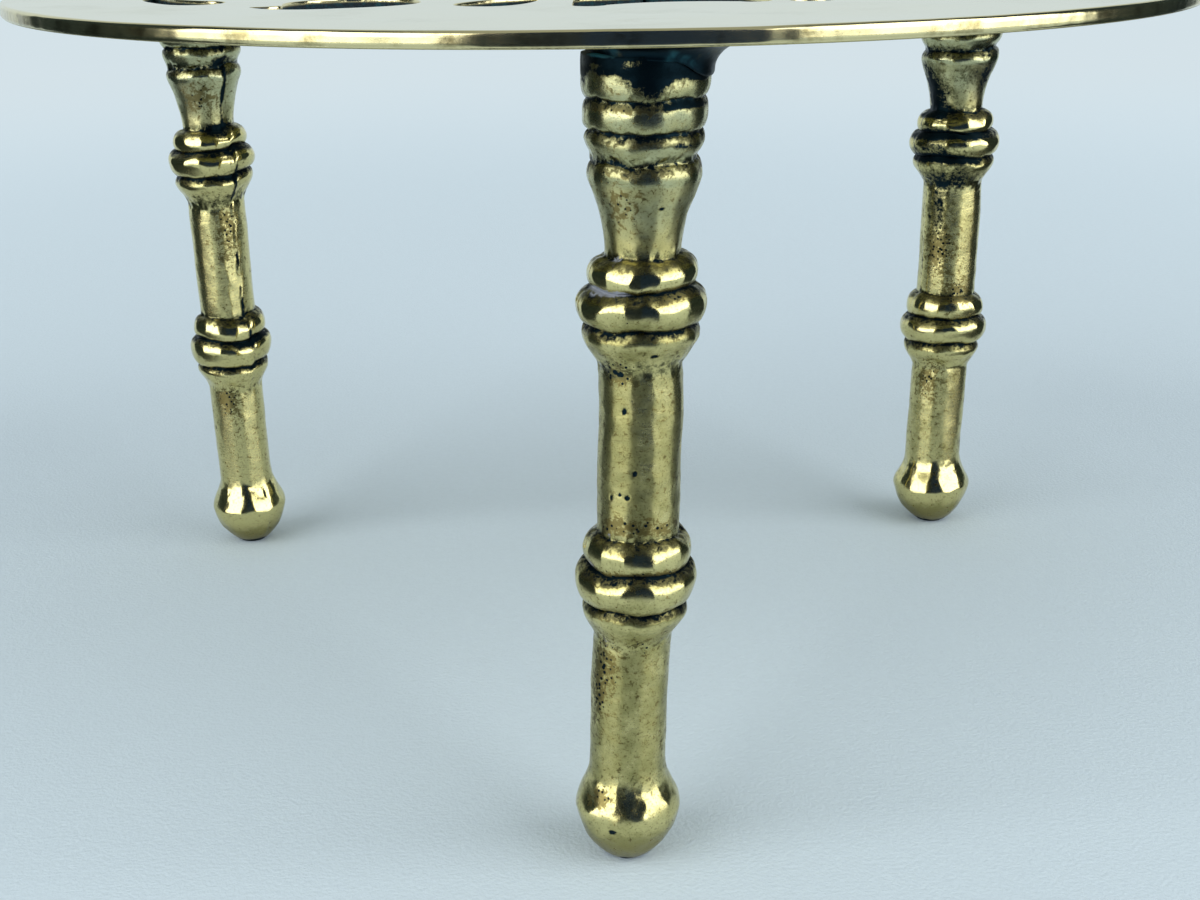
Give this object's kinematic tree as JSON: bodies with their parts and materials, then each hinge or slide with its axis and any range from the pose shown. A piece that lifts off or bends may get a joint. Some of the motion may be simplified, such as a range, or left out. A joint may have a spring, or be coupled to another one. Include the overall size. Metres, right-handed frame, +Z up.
{
  "type": "brass trivet",
  "caption": "Round pierced brass trivet: a flat polished plate on turned, beaded cast legs with domed feet, tenoned and brazed under its rim.",
  "frame": {"origin": "on the table surface, under the centre of the round plate", "axes": "+Z up, -Y towards the front leg, +X to the right seen from the front"},
  "size_m": [0.2, 0.2, 0.1192],
  "materials": {
    "polished_brass": "polished, fine wiping scratches, silvery where it mirrors a pale room",
    "cast_brass": "hand-filed sand casting, dark tarnish in the grooves and pits",
    "braze": "dull brown-black braze with traces of verdigris"
  },
  "bodies": {
    "root": {"top_plate": "polished_brass", "leg_front": "cast_brass", "leg_rear_right": "cast_brass", "leg_rear_left": "cast_brass", "braze_front": "braze", "braze_rear_right": "braze", "braze_rear_left": "braze"}
  },
  "joints": []
}
